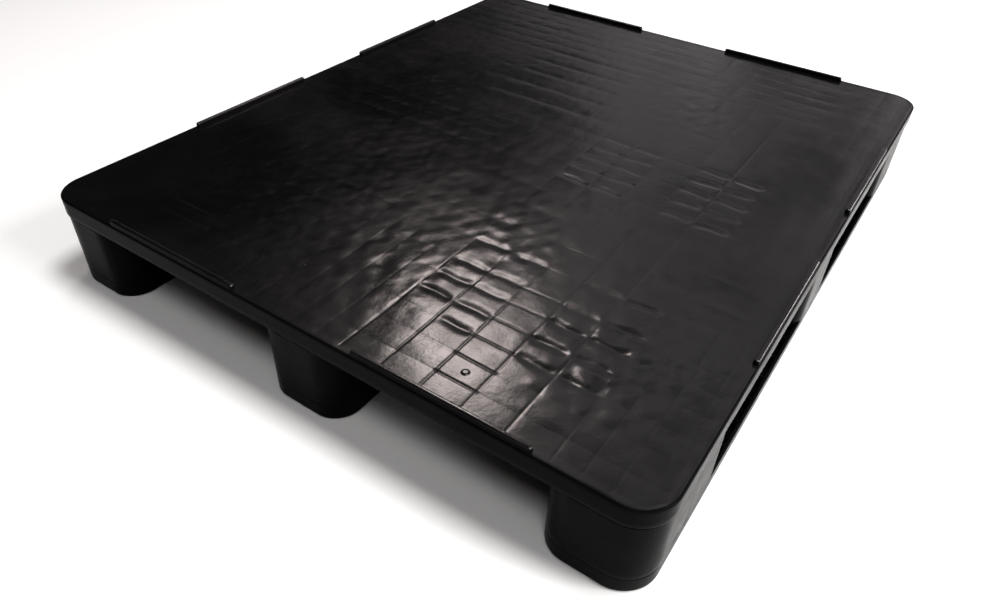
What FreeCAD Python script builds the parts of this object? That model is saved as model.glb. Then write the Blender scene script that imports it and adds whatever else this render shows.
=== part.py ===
"""Plastic pallet with a closed deck, nine hollow blocks and three runners.

Frame: +X along the 1000 mm side, +Y along the 1200 mm side, +Z up. The origin is
the centre of the footprint, on the floor that the runners stand on.
"""
import FreeCAD, Part
import math
import os
import Sketcher

DIMENSIONS = {
    # whole pallet
    "deck_width": 1000.0,
    "deck_length": 1200.0,
    "deck_top": 150.0,
    "deck_corner": 50.0,
    # top deck moulding
    "plate": 4.0,
    "top_round": 3.0,
    "skirt_depth": 30.0,
    "skirt_wall": 5.0,
    "rib_depth": 45.0,
    "rib_wall": 3.0,
    "edge_relief": 16.0,
    # raised rims that keep a load on the deck
    "rim_length": 250.0,
    "rim_wall": 8.0,
    "rim_height": 7.0,
    "rim_inset": 2.0,
    "rim_pitch_front": 450.0,
    "rim_pitch_side": 410.0,
    # layout of the nine blocks, and the deck zones above them
    "column_pitch": 430.0,
    "row_pitch": 485.0,
    "zone_width": 140.0,
    "zone_long": 230.0,
    "zone_short": 170.0,
    "zone_cells_across": 4.0,
    "zone_cells_long": 6.0,
    "zone_cells_short": 4.0,
    "bay_cells": 5.0,
    # hollow blocks
    "block_gap": 2.0,
    "block_corner": 40.0,
    "block_wall": 4.5,
    # runners
    "runner_height": 25.0,
    "runner_floor": 4.0,
    "runner_round": 5.0,
    "runner_rib_pitch": 50.0,
    "runner_rib_count": 23.0,
    # screws, and the tubes that they pass through
    "screw_across": 40.0,
    "screw_along": 50.0,
    "shank_radius": 4.0,
    "shank_length": 130.0,
    "tip_chamfer": 1.5,
    "head_radius": 8.0,
    "head_height": 5.0,
    "drive_radius": 3.5,
    "drive_depth": 3.0,
    "tube_radius": 13.0,
    "hole_radius": 4.3,
    "pilot_radius": 4.1,
    "pilot_depth": 24.0,
    "sink_radius": 9.5,
    "sink_depth": 9.0,
}
COLUMNS = {"left": -1, "middle": 0, "right": 1}
ROWS = {"front": -1, "centre": 0, "back": 1}
SIGNS = (-1, 1)
TOLERANCE = 0.001

doc = FreeCAD.newDocument("pallet")
sheet = doc.addObject("Spreadsheet::Sheet", "Dimensions")
for line, (alias, value) in enumerate(DIMENSIONS.items(), start=1):
    sheet.set(f"A{line}", alias)
    sheet.set(f"B{line}", str(value))
    sheet.setAlias(f"B{line}", alias)
doc.recompute()


# ---- formulas on the sheet ----------------------------------------------------

def formula(text):
    """Turn 'deck_width / 2' into an expression on the sheet's cells."""
    words = text.replace("(", " ( ").replace(")", " ) ").split()
    return " ".join(f"Dimensions.{word}" if word in DIMENSIONS else word for word in words)


def size(text):
    """The number that a formula gives."""
    return float(sheet.evalExpression(formula(text)))


# ---- sketches -----------------------------------------------------------------

def new_sketch(body, name, height):
    """A sketch on the body's own XY plane, raised to a height."""
    sketch = body.newObject("Sketcher::SketchObject", name)
    plane = next(item for item in body.Origin.OriginFeatures if item.Role == "XY_Plane")
    sketch.AttachmentSupport = [(plane, "")]
    sketch.MapMode = "FlatFace"
    sketch.setExpression("AttachmentOffset.Base.z", formula(height))
    return sketch


def bind(sketch, kind, places, text):
    """Add one driving dimension and bind it to the sheet."""
    index = sketch.addConstraint(Sketcher.Constraint(kind, *places, size(text)))
    sketch.setExpression(f"Constraints[{index}]", formula(text))


def draw_rectangle(sketch, left, front, width, depth):
    """A rectangle from its left and front edges, its width (X) and its depth (Y)."""
    x0, y0 = size(left), size(front)
    x1, y1 = x0 + size(width), y0 + size(depth)
    corners = [FreeCAD.Vector(x, y) for x, y in ((x0, y0), (x1, y0), (x1, y1), (x0, y1))]
    lines = [Part.LineSegment(corners[i], corners[(i + 1) % 4]) for i in range(4)]
    front_line, right_line, back_line, left_line = sketch.addGeometry(lines, False)
    around = (front_line, right_line, back_line, left_line)
    for here, following in zip(around, around[1:] + around[:1]):
        sketch.addConstraint(Sketcher.Constraint("Coincident", here, 2, following, 1))
    for line in (front_line, back_line):
        sketch.addConstraint(Sketcher.Constraint("Horizontal", line))
    for line in (right_line, left_line):
        sketch.addConstraint(Sketcher.Constraint("Vertical", line))
    bind(sketch, "DistanceX", (-1, 1, front_line, 1), left)
    bind(sketch, "DistanceY", (-1, 1, front_line, 1), front)
    bind(sketch, "DistanceX", (front_line, 1, front_line, 2), width)
    bind(sketch, "DistanceY", (right_line, 1, right_line, 2), depth)


def draw_rounded(sketch, left, front, width, depth, radii):
    """A rectangle with round corners, radii from the front left one anticlockwise."""
    x0, y0 = size(left), size(front)
    x1, y1 = x0 + size(width), y0 + size(depth)
    r = [size(radius) for radius in radii]
    centres = ((x0 + r[0], y0 + r[0]), (x1 - r[1], y0 + r[1]),
               (x1 - r[2], y1 - r[2]), (x0 + r[3], y1 - r[3]))
    arcs = []
    for turn, (centre, radius) in enumerate(zip(centres, r)):
        circle = Part.Circle(FreeCAD.Vector(*centre), FreeCAD.Vector(0, 0, 1), radius)
        start = math.pi + turn * math.pi / 2
        arcs.append(Part.ArcOfCircle(circle, start, start + math.pi / 2))
    lines = [Part.LineSegment(arcs[i].EndPoint, arcs[(i + 1) % 4].StartPoint) for i in range(4)]
    arc_ids = sketch.addGeometry(arcs, False)
    line_ids = sketch.addGeometry(lines, False)
    front_line, right_line, back_line, left_line = line_ids
    for turn in range(4):
        following = arc_ids[(turn + 1) % 4]
        sketch.addConstraint(Sketcher.Constraint("Tangent", arc_ids[turn], 2, line_ids[turn], 1))
        sketch.addConstraint(Sketcher.Constraint("Tangent", line_ids[turn], 2, following, 1))
        bind(sketch, "Radius", (arc_ids[turn],), radii[turn])
    for line in (front_line, back_line):
        sketch.addConstraint(Sketcher.Constraint("Horizontal", line))
    for line in (right_line, left_line):
        sketch.addConstraint(Sketcher.Constraint("Vertical", line))
    bind(sketch, "DistanceX", (-1, 1, left_line, 1), left)
    bind(sketch, "DistanceY", (-1, 1, front_line, 1), front)
    bind(sketch, "DistanceX", (left_line, 1, right_line, 1), width)
    bind(sketch, "DistanceY", (front_line, 1, back_line, 1), depth)


def draw_circle(sketch, across, along, radius):
    """A circle about one place."""
    centre = FreeCAD.Vector(size(across), size(along))
    index = sketch.addGeometry(Part.Circle(centre, FreeCAD.Vector(0, 0, 1), size(radius)), False)
    bind(sketch, "DistanceX", (-1, 1, index, 3), across)
    bind(sketch, "DistanceY", (-1, 1, index, 3), along)
    bind(sketch, "Radius", (index,), radius)


def draw_hexagon(sketch, across, along, radius):
    """A hexagon on a construction circle of the given radius."""
    x, y, r = size(across), size(along), size(radius)
    turns = [math.radians(60 * step) for step in range(6)]
    corners = [FreeCAD.Vector(x + r * math.cos(turn), y + r * math.sin(turn)) for turn in turns]
    lines = [Part.LineSegment(corners[i], corners[(i + 1) % 6]) for i in range(6)]
    sides = sketch.addGeometry(lines, False)
    circle = Part.Circle(FreeCAD.Vector(x, y), FreeCAD.Vector(0, 0, 1), r)
    ring = sketch.addGeometry(circle, True)
    for here, following in zip(sides, sides[1:] + sides[:1]):
        sketch.addConstraint(Sketcher.Constraint("Coincident", here, 2, following, 1))
        sketch.addConstraint(Sketcher.Constraint("PointOnObject", here, 1, ring))
    for side in sides[1:]:
        sketch.addConstraint(Sketcher.Constraint("Equal", sides[0], side))
    sketch.addConstraint(Sketcher.Constraint("Horizontal", sides[1]))
    bind(sketch, "DistanceX", (-1, 1, ring, 3), across)
    bind(sketch, "DistanceY", (-1, 1, ring, 3), along)
    bind(sketch, "Radius", (ring,), radius)


def draw_at_screws(sketch, draw, radius):
    """Draw one shape at each of a block's four screw places."""
    for side in SIGNS:
        for end in SIGNS:
            draw(sketch, f"{side} * screw_across", f"{end} * screw_along", radius)


# ---- features -----------------------------------------------------------------

def new_body(label, across="0", along="0", up="0"):
    """A body of its own label, placed by three formulas."""
    body = doc.addObject("PartDesign::Body", label)
    body.Label = label
    for axis, text in zip("xyz", (across, along, up)):
        body.setExpression(f"Placement.Base.{axis}", formula(text))
    return body


def extrude(body, kind, sketch, length):
    """A Pad upwards, or a Pocket downwards, from a sketch."""
    feature = body.newObject(f"PartDesign::{kind}", f"{kind}_{sketch.Name}")
    feature.Profile = sketch
    feature.setExpression("Length", formula(length))
    body.Tip = feature
    return feature


def repeat(body, feature, sketch, steps):
    """Repeat a feature along X and Y: each step is an axis, a count and a pitch."""
    patterns = []
    for axis, count, pitch in steps:
        pattern = body.newObject("PartDesign::LinearPattern", f"Row_{feature.Name}")
        pattern.Direction = (sketch, [f"{axis}_Axis"])
        pattern.setExpression("Occurrences", formula(count))
        pattern.setExpression("Length", formula(f"( ( {count} ) - 1 ) * ( {pitch} )"))
        patterns.append(pattern)
    if len(patterns) == 1:
        patterns[0].Originals = [feature]
        body.Tip = patterns[0]
        return
    grid = body.newObject("PartDesign::MultiTransform", f"Grid_{feature.Name}")
    grid.Originals = [feature]
    grid.Transformations = patterns
    body.Tip = grid


def soften(body, kind, height, dimension):
    """Fillet or chamfer every edge that lies at one height of the body."""
    doc.recompute()
    base = body.Tip
    names = []
    for index, edge in enumerate(base.Shape.Edges, start=1):
        box = edge.BoundBox
        if abs(box.ZMin - size(height)) < TOLERANCE and abs(box.ZMax - size(height)) < TOLERANCE:
            names.append(f"Edge{index}")
    feature = body.newObject(f"PartDesign::{kind}", f"{kind}_{base.Name}")
    feature.Base = (base, names)
    feature.setExpression("Radius" if kind == "Fillet" else "Size", formula(dimension))
    body.Tip = feature


# ---- top deck -----------------------------------------------------------------

def prism(inset, low, high):
    """The deck's rounded outline, taken in by an inset, between two heights."""
    width = size("deck_width") - 2 * inset
    depth = size("deck_length") - 2 * inset
    box = Part.makeBox(width, depth, high - low, FreeCAD.Vector(-width / 2, -depth / 2, low))
    upright = [edge for edge in box.Edges if edge.BoundBox.ZLength > TOLERANCE]
    return box.makeFillet(size("deck_corner") - inset, upright)


def slab(x_range, y_range, z_range):
    """A box between two places on each axis."""
    spans = [high - low for low, high in (x_range, y_range, z_range)]
    return Part.makeBox(*spans, FreeCAD.Vector(x_range[0], y_range[0], z_range[0]))


def rib_lines(pitch, zone, zone_cells, centre_zone, centre_cells):
    """Rib centre lines over half of the deck, from the middle outwards, then mirrored."""
    bay_cells = int(size("bay_cells"))
    bay_start = centre_zone / 2
    bay_end = pitch - zone / 2
    bay_cell = (bay_end - bay_start) / bay_cells
    lines = [step * centre_zone / centre_cells for step in range(int(centre_cells) // 2 + 1)]
    lines += [bay_start + step * bay_cell for step in range(1, bay_cells + 1)]
    lines += [bay_end + step * zone / zone_cells for step in range(1, int(zone_cells))]
    return sorted({-line for line in lines} | set(lines))


def open_spans(lines, half):
    """The gaps between the ribs, from skirt to skirt."""
    rib = size("rib_wall") / 2
    starts = [-half] + [line + rib for line in lines]
    ends = [line - rib for line in lines] + [half]
    return list(zip(starts, ends))


def screw_places():
    """The places of all screws, four to a block."""
    across, along = size("screw_across"), size("screw_along")
    for column in COLUMNS.values():
        for row in ROWS.values():
            for side in SIGNS:
                for end in SIGNS:
                    yield (column * size("column_pitch") + side * across,
                           row * size("row_pitch") + end * along)


def screw_cylinders(radius, low, high):
    return [Part.makeCylinder(radius, high - low, FreeCAD.Vector(*place, low))
            for place in screw_places()]


def deck_cells(low, high):
    """The hollow cells between the ribs, less the screw tubes."""
    wall = size("skirt_wall")
    half_x = size("deck_width") / 2
    half_y = size("deck_length") / 2
    zone_x, cells_x = size("zone_width"), size("zone_cells_across")
    across = rib_lines(size("column_pitch"), zone_x, cells_x, zone_x, cells_x)
    along = rib_lines(size("row_pitch"), size("zone_long"), size("zone_cells_long"),
                      size("zone_short"), size("zone_cells_short"))
    inside = prism(wall, low, high)
    straight_x = half_x - size("deck_corner")
    straight_y = half_y - size("deck_corner")
    cells = []
    for x_range in open_spans(across, half_x - wall):
        for y_range in open_spans(along, half_y - wall):
            cell = slab(x_range, y_range, (low, high))
            past_x = max(map(abs, x_range)) > straight_x
            past_y = max(map(abs, y_range)) > straight_y
            cells.append(cell.common(inside) if past_x and past_y else cell)
    tubes = Part.makeCompound(screw_cylinders(size("tube_radius"), low, high))
    return Part.makeCompound(cells).cut(tubes)


def deep_ribs_region(low, high):
    """The space of the deep ribs: clear of the edge and of the seats over the blocks."""
    relief = size("edge_relief")
    half_x = size("deck_width") / 2 - relief
    half_y = size("deck_length") / 2 - relief
    region = slab((-half_x, half_x), (-half_y, half_y), (low, high))
    rib = size("rib_wall")
    reach_x = (size("zone_width") - rib) / 2
    seats = []
    for column in COLUMNS.values():
        for row in ROWS.values():
            reach_y = (size("zone_long" if row else "zone_short") - rib) / 2
            x = column * size("column_pitch")
            y = row * size("row_pitch")
            seats.append(slab((x - reach_x, x + reach_x), (y - reach_y, y + reach_y), (low, high)))
    return region.cut(Part.makeCompound(seats))


def rims(top):
    """Two low rims along each edge of the deck."""
    length, wall, high = size("rim_length"), size("rim_wall"), size("rim_height")
    edge = size("rim_inset") + wall / 2
    end_y = size("deck_length") / 2 - edge
    side_x = size("deck_width") / 2 - edge
    pieces = []
    for side in SIGNS:
        for end in SIGNS:
            x = side * size("rim_pitch_front") / 2
            y = end * size("rim_pitch_side") / 2
            for centre_x, centre_y, width, depth in (
                (x, end * end_y, length, wall),
                (side * side_x, y, wall, length),
            ):
                x_range = (centre_x - width / 2, centre_x + width / 2)
                y_range = (centre_y - depth / 2, centre_y + depth / 2)
                pieces.append(slab(x_range, y_range, (top, top + high)))
    return pieces


def make_top_deck():
    """The closed plate with its skirt, rims, ribs and screw tubes, in one moulding.

    Its hundreds of cells are cut in one go from a solid of the outer shape.
    """
    top = size("deck_top")
    seat = top - size("skirt_depth")
    rib_foot = top - size("rib_depth")
    under_plate = top - size("plate")
    upper = prism(0, seat, top)
    brim = [edge for edge in upper.Edges if edge.BoundBox.ZMin > top - TOLERANCE]
    upper = upper.makeFillet(size("top_round"), brim)
    solid = upper.fuse([deep_ribs_region(rib_foot, seat)] + rims(top)).removeSplitter()
    pilots = screw_cylinders(size("pilot_radius"), rib_foot, seat + size("pilot_depth"))
    shape = solid.cut([deck_cells(rib_foot, under_plate)] + pilots)
    deck = doc.addObject("Part::Feature", "top_deck")
    deck.Shape = shape.Solids[0] if len(shape.Solids) == 1 else shape
    deck.Placement = FreeCAD.Placement()
    return deck


# ---- blocks and runners -------------------------------------------------------

def corner_radii(column, row_ends):
    """Corner radii from the front left: the pallet's own corners follow the deck's."""
    radii = []
    for side, end in ((-1, -1), (1, -1), (1, 1), (-1, 1)):
        outer = side == column and end in row_ends
        radii.append("deck_corner - block_gap" if outer else "block_corner")
    return radii


def draw_shell(sketch, width, depth, radii, wall):
    """A rounded outline about the origin, taken in by a wall."""
    draw_rounded(sketch, f"{wall} - ( {width} ) / 2", f"{wall} - ( {depth} ) / 2",
                 f"{width} - 2 * {wall}", f"{depth} - 2 * {wall}",
                 [f"{radius} - {wall}" for radius in radii])


def make_block(row_name, column_name):
    """A hollow block, open below, with cross walls and four screw tubes."""
    row, column = ROWS[row_name], COLUMNS[column_name]
    label = f"block_{row_name}_{column_name}"
    width = "zone_width - 2 * block_gap"
    depth = "zone_long - 2 * block_gap" if row else "zone_short - 2 * block_gap"
    height = "( deck_top - skirt_depth - runner_height )"
    room = f"{height} - plate"
    radii = corner_radii(column, (row,))
    block = new_body(label, f"{column} * column_pitch", f"{row} * row_pitch", "runner_height")
    outline = new_sketch(block, f"{label}_Outline", "0")
    draw_shell(outline, width, depth, radii, "0")
    extrude(block, "Pad", outline, height)
    inside = new_sketch(block, f"{label}_Inside", room)
    draw_shell(inside, width, depth, radii, "block_wall")
    extrude(block, "Pocket", inside, room)
    long_wall = new_sketch(block, f"{label}_LongWall", "0")
    draw_rectangle(long_wall, "0 - rib_wall / 2", f"block_wall / 2 - ( {depth} ) / 2", "rib_wall",
                   f"{depth} - block_wall")
    extrude(block, "Pad", long_wall, room)
    cross_wall = new_sketch(block, f"{label}_CrossWall", "0")
    draw_rectangle(cross_wall, f"block_wall / 2 - ( {width} ) / 2", "0 - screw_along - rib_wall / 2",
                   f"{width} - block_wall", "rib_wall")
    repeat(block, extrude(block, "Pad", cross_wall, room), cross_wall, [("V", "3", "screw_along")])
    tubes = new_sketch(block, f"{label}_Tubes", "0")
    draw_at_screws(tubes, draw_circle, "tube_radius")
    extrude(block, "Pad", tubes, room)
    holes = new_sketch(block, f"{label}_Holes", height)
    draw_at_screws(holes, draw_circle, "hole_radius")
    extrude(block, "Pocket", holes, height)
    return block


def make_runner(column_name):
    """A runner with a smooth floor, ribbed inside and open towards the blocks."""
    column = COLUMNS[column_name]
    label = f"runner_{column_name}"
    width = "zone_width - 2 * block_gap"
    depth = "deck_length - 2 * block_gap"
    room = "runner_height - runner_floor"
    radii = corner_radii(column, SIGNS)
    runner = new_body(label, f"{column} * column_pitch")
    outline = new_sketch(runner, f"{label}_Outline", "0")
    draw_shell(outline, width, depth, radii, "0")
    extrude(runner, "Pad", outline, "runner_height")
    soften(runner, "Fillet", "0", "runner_round")
    inside = new_sketch(runner, f"{label}_Inside", "runner_height")
    draw_shell(inside, width, depth, radii, "block_wall")
    extrude(runner, "Pocket", inside, room)
    long_rib = new_sketch(runner, f"{label}_LongRib", "runner_floor")
    draw_rectangle(long_rib, "0 - screw_across - rib_wall / 2", f"block_wall / 2 - ( {depth} ) / 2",
                   "rib_wall", f"{depth} - block_wall")
    repeat(runner, extrude(runner, "Pad", long_rib, room), long_rib, [("H", "3", "screw_across")])
    cross_rib = new_sketch(runner, f"{label}_CrossRib", "runner_floor")
    draw_rectangle(cross_rib, f"block_wall / 2 - ( {width} ) / 2",
                   "0 - runner_rib_pitch * ( runner_rib_count - 1 ) / 2 - rib_wall / 2",
                   f"{width} - block_wall", "rib_wall")
    repeat(runner, extrude(runner, "Pad", cross_rib, room), cross_rib,
           [("V", "runner_rib_count", "runner_rib_pitch")])
    for name, kind, height, length, radius in (
        ("Tubes", "Pad", "runner_floor", room, "tube_radius"),
        ("Holes", "Pocket", "runner_height", "runner_height", "hole_radius"),
        ("Sinks", "Pocket", "sink_depth", "sink_depth", "sink_radius"),
    ):
        sketch = new_sketch(runner, f"{label}_{name}", height)
        for side in SIGNS:
            for end in SIGNS:
                along = f"{end} * screw_along - row_pitch"
                draw_circle(sketch, f"{side} * screw_across", along, radius)
        repeat(runner, extrude(runner, kind, sketch, length), sketch, [("V", "3", "row_pitch")])
    return runner


# ---- screws -------------------------------------------------------------------

def make_screws(row_name, column_name):
    """The four long screws that clamp a runner and a block to the deck."""
    label = f"screws_{row_name}_{column_name}"
    screws = new_body(label, f"{COLUMNS[column_name]} * column_pitch", f"{ROWS[row_name]} * row_pitch")
    screws.AllowCompound = True
    under_head = "sink_depth - head_height"
    drive_top = f"{under_head} + drive_depth"
    for name, draw, kind, height, length, radius in (
        ("Heads", draw_circle, "Pad", under_head, "head_height", "head_radius"),
        ("Drives", draw_hexagon, "Pocket", drive_top, "drive_depth", "drive_radius"),
        ("Shanks", draw_circle, "Pad", "sink_depth", "shank_length", "shank_radius"),
    ):
        sketch = new_sketch(screws, f"{label}_{name}", height)
        draw_at_screws(sketch, draw, radius)
        extrude(screws, kind, sketch, length)
    soften(screws, "Chamfer", "sink_depth + shank_length", "tip_chamfer")
    return screws


# ---- the pallet ---------------------------------------------------------------

def check(bodies):
    """Stop if any object failed, or any sub-part isn't a sound solid."""
    for item in doc.Objects:
        if "Invalid" in item.State or "Error" in item.State:
            raise RuntimeError(f"{item.Name} failed: {item.State}")
    for body in bodies:
        if body.Shape.isNull() or not body.Shape.isValid():
            raise RuntimeError(f"{body.Label} has no sound shape")


bodies = [make_top_deck()]
bodies += [make_block(row, column) for row in ROWS for column in COLUMNS]
bodies += [make_runner(column) for column in COLUMNS]
bodies += [make_screws(row, column) for row in ROWS for column in COLUMNS]
doc.recompute()
check(bodies)

os.makedirs("parts", exist_ok=True)
for body in bodies:
    body.Shape.exportStep(f"parts/{body.Label}.step")
    box = body.Shape.BoundBox
    print(f"{body.Label}: {len(body.Shape.Solids)} solids, {body.Shape.Volume / 1000:.1f} cm3, "
          f"{box.XLength:.1f} x {box.YLength:.1f} x {box.ZLength:.1f} mm from z {box.ZMin:.1f}")
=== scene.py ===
"""The looks of a black plastic pallet: closed deck, nine blocks and three runners.

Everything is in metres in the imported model's frame: X along the short side, Y along the
long side, Z up. The skins of the deck, the blocks and the runners are built here finer
than in the CAD model, with the sink marks, ripples and rounded edges of a large
injection moulding. The screws keep their CAD mesh and only get a material.
"""
import math

import bmesh
import bpy
import numpy as np
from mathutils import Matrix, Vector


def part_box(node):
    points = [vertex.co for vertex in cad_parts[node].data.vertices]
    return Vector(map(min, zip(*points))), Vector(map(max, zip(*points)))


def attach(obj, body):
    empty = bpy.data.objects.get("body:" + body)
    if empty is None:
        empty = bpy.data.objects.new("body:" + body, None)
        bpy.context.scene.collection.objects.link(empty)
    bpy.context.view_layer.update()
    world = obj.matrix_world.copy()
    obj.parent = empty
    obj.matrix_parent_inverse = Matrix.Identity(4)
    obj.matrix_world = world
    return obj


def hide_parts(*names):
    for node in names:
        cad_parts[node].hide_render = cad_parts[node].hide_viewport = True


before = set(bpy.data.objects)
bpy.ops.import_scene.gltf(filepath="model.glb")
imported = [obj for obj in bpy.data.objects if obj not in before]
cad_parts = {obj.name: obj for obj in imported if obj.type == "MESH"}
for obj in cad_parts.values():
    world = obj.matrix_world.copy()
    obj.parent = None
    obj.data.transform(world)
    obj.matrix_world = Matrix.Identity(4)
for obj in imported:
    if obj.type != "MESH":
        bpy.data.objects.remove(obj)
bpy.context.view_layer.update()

MM = 0.001

# ---- sizes that the deck shares with the CAD model ------------------------------
DECK_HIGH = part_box("top_deck")[1]
HALF_X = DECK_HIGH.x
HALF_Y = DECK_HIGH.y
RIM_HEIGHT = 7 * MM
TOP = DECK_HIGH.z - RIM_HEIGHT
CORNER = 50 * MM
TOP_ROUND = 3 * MM
PLATE = 4 * MM
SKIRT_WALL = 5 * MM
SKIRT_FOOT = TOP - 30 * MM
RIB_WALL = 3 * MM
RIB_DEPTH = 45 * MM
EDGE_RELIEF = 16 * MM
RIM_LENGTH = 250 * MM
RIM_WALL = 8 * MM
RIM_INSET = 2 * MM
RIM_ROUND = 2.2 * MM
RIM_SUNK = 1.5 * MM
RIM_DRAFT = 0.35 * MM
RIM_CORNER = 3.2 * MM
RIM_PITCH_X = 450 * MM
RIM_PITCH_Y = 410 * MM
COLUMN_PITCH = 430 * MM
ROW_PITCH = 485 * MM
ZONE_WIDTH = 140 * MM
ZONE_LONG = 230 * MM
ZONE_SHORT = 170 * MM
BAY_CELLS = 5
ZONE_CELLS = {"across": 4, "long": 6, "short": 4}
SCREW_ACROSS = 40 * MM
SCREW_ALONG = 50 * MM
TUBE_RADIUS = 13 * MM
TUBE_BORE = 4.1 * MM
BORE_DEPTH = 24 * MM
ROUND_STEPS = 32
# shells that are one moulding reach this far into each other
OVERLAP = 0.2 * MM
COLUMNS = {"left": -1, "middle": 0, "right": 1}
ROWS = {"front": -1, "centre": 0, "back": 1}
SIGNS = (-1, 1)


# ---- mesh helpers ---------------------------------------------------------------

SHARP_ANGLE = 40


def make_piece(name, vertices, faces):
    """A smooth-shaded mesh object with sharp edges where it turns by more than an angle."""
    mesh = bpy.data.meshes.new(name)
    mesh.from_pydata([tuple(v) for v in vertices], [], faces)
    mesh.validate()
    mesh.shade_smooth()
    mesh.set_sharp_from_angle(angle=math.radians(SHARP_ANGLE))
    piece = bpy.data.objects.new(name, mesh)
    bpy.context.scene.collection.objects.link(piece)
    return piece


def join_shells(shells):
    """One list of vertices and one of faces from several closed shells."""
    vertices, faces = [], []
    for points, polygons in shells:
        start = len(vertices)
        vertices.extend(points)
        faces.extend([tuple(start + i for i in face) for face in polygons])
    return vertices, faces


def stack_rings(rings):
    """Quads between closed rings of the same length, given as lists of vertex numbers."""
    faces = []
    for lower, upper in zip(rings, rings[1:]):
        count = len(lower)
        for i in range(count):
            j = (i + 1) % count
            faces.append((lower[i], lower[j], upper[j], upper[i]))
    return faces


def circle(x, y, radius, height, steps=ROUND_STEPS):
    """Points round a level circle, counterclockwise from above."""
    turns = [2 * math.pi * step / steps for step in range(steps)]
    return [(x + radius * math.cos(turn), y + radius * math.sin(turn), height) for turn in turns]


def bell(distance, width):
    """A smooth hump of height one."""
    return np.exp(-((distance / width) ** 2))


def ease(value, start, end):
    """Zero before start, one after end, smooth between."""
    t = np.clip((value - start) / (end - start), 0, 1)
    return t * t * (3 - 2 * t)


def ripples(x, y, wavelength, seed, waves=14):
    """A smooth random field of about one wavelength, from -1 to 1."""
    rng = np.random.default_rng(seed)
    total = np.zeros_like(x)
    for _ in range(waves):
        heading = rng.uniform(0, 2 * math.pi)
        pace = 2 * math.pi / (wavelength * rng.uniform(0.6, 1.6))
        phase = rng.uniform(0, 2 * math.pi)
        total += np.sin(pace * (x * math.cos(heading) + y * math.sin(heading)) + phase)
    return total / math.sqrt(waves) / 1.6


# ---- rib layout -----------------------------------------------------------------

def rib_lines(pitch, zone, zone_cells, centre_zone, centre_cells):
    """Rib centre lines across the whole deck, the same layout as in the CAD model."""
    bay_start = centre_zone / 2
    bay_end = pitch - zone / 2
    bay_cell = (bay_end - bay_start) / BAY_CELLS
    lines = [step * centre_zone / centre_cells for step in range(centre_cells // 2 + 1)]
    lines += [bay_start + step * bay_cell for step in range(1, BAY_CELLS + 1)]
    lines += [bay_end + step * zone / zone_cells for step in range(1, zone_cells)]
    return sorted({-line for line in lines} | set(lines))


RIBS_X = rib_lines(COLUMN_PITCH, ZONE_WIDTH, ZONE_CELLS["across"], ZONE_WIDTH,
                   ZONE_CELLS["across"])
RIBS_Y = rib_lines(ROW_PITCH, ZONE_LONG, ZONE_CELLS["long"], ZONE_SHORT,
                   ZONE_CELLS["short"])


def drift_x(x):
    """Sink marks lie a little beside their ribs: across, more so to the right."""
    return x + 10 * MM * ease(x, -30 * MM, 80 * MM)


def drift_y(y):
    """Along the deck they lie a little to the front of their ribs in the back half."""
    return y - 13 * MM * ease(y, -60 * MM, 90 * MM) + 4 * MM * ease(y, -300 * MM, -420 * MM)


MARKS_X = [float(drift_x(line)) for line in RIBS_X]
MARKS_Y = [float(drift_y(line)) for line in RIBS_Y]


# ---- top surface of the deck ----------------------------------------------------

GROOVE_DEPTH = 0.36 * MM
GROOVE_WIDTH = 1.7 * MM
SINK_DEPTH = 0.12 * MM
SINK_WIDTH = 9 * MM
DASH_DEPTH = 1.0 * MM
DASH_WIDTH = 11.5 * MM
DASH_SHARE = 0.66
# the dents lie this far from the middle, across and along
DENTED_COLUMNS = (78 * MM, 372 * MM)
DENTED_ENDS = (300 * MM, 540 * MM)
DENTED_CENTRE = 95 * MM
BUTTON = (226 * MM, -540 * MM)
BUTTON_RADIUS = 6 * MM
BUTTON_HEIGHT = 1.2 * MM
BUTTON_SUNK = 0.5 * MM
FLAT_COLUMN = (190 * MM, 262 * MM)
SOFT_EDGE = 8 * MM
WAVY_DEPTH = 0.75 * MM
BAND_DEPTH = 0.40 * MM
# the marks begin and are whole at these distances from the deck's edge
PLAIN_BORDER = 4 * MM
MARKED_BORDER = 14 * MM
# the marked surface lies this far under the top, which leaves room for ripples
MEAN_DIP = 0.35 * MM
# places where the melt's flow left the skin wavy: centre, reach and strength
WAVY_PATCHES = (
    (125 * MM, -270 * MM, 95 * MM, 0.9),
    (20 * MM, -420 * MM, 120 * MM, 0.5),
    (355 * MM, -435 * MM, 95 * MM, 1.0),
    (335 * MM, -255 * MM, 60 * MM, 0.4),
    (150 * MM, 270 * MM, 100 * MM, 0.6),
    (210 * MM, -130 * MM, 60 * MM, 0.35),
    (-160 * MM, -160 * MM, 170 * MM, 0.35),
)


def in_bay(place, low, high):
    """True where a place lies between two limits, on either side of the middle."""
    return low < abs(place) < high


def zone_depth(middle, y):
    """Share of a dent's depth: most at the centre's right, least at the back end."""
    if abs(y) < DENTED_CENTRE:
        return 0.9 if middle < 200 * MM else 1.35
    return 1.0 if y < 0 else 0.15


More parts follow.
